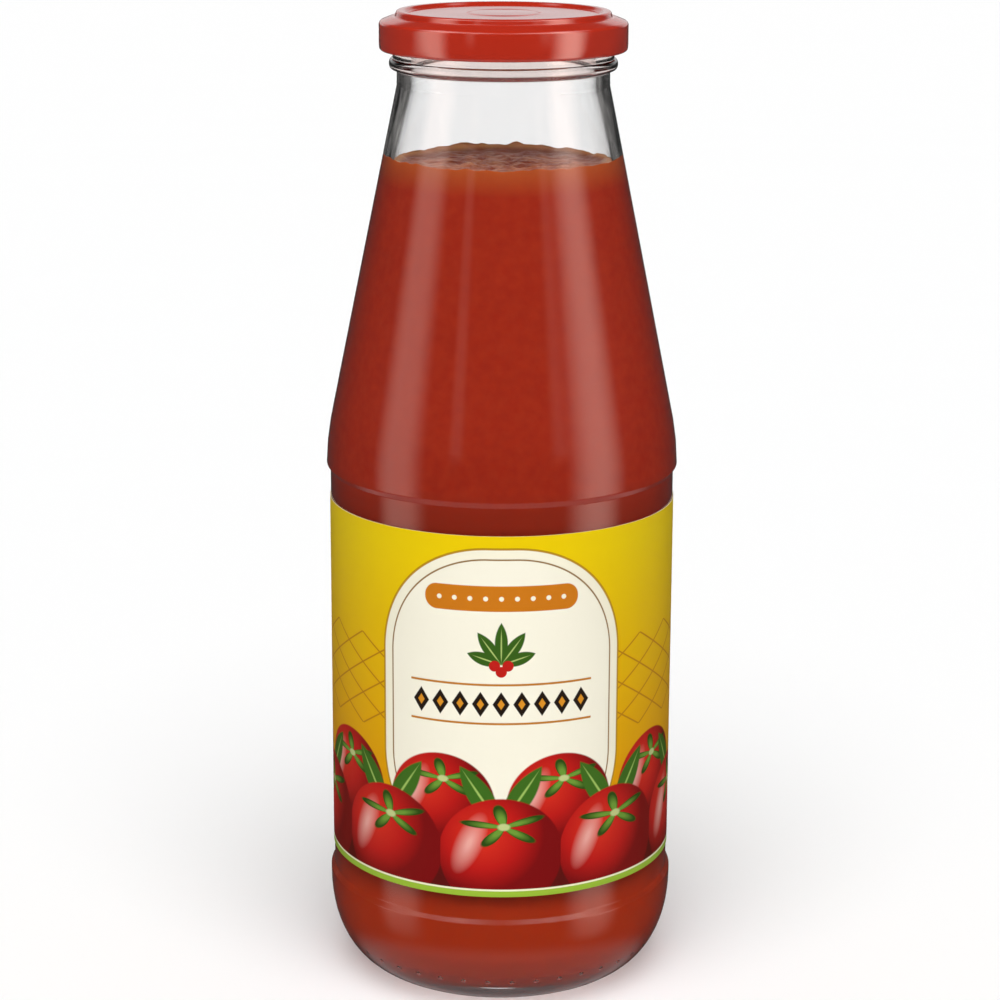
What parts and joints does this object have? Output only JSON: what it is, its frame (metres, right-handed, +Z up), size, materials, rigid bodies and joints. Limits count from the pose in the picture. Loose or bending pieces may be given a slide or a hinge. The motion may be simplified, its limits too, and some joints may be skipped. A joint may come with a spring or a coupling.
{
  "type": "passata bottle",
  "caption": "Clear glass bottle filled with thick tomato passata, with a conical neck, a red twist-off lid and a paper label round its recessed panel.",
  "frame": {"origin": "centre of the base, on the surface the bottle stands on", "axes": "+Z up along the bottle's axis, the label's front faces -Y, its seam is at +Y"},
  "size_m": [0.08, 0.08, 0.2223],
  "materials": {
    "clear_glass": "clear flint glass, polished",
    "passata": "wet, thick, lumpy on top",
    "lid_lacquer": "glossy red lacquer on tinplate",
    "label_paper": "coated printed paper, satin"
  },
  "bodies": {
    "root": {"bottle_glass": "clear_glass", "passata": "passata", "lid": "lid_lacquer", "label": "label_paper"}
  },
  "joints": []
}
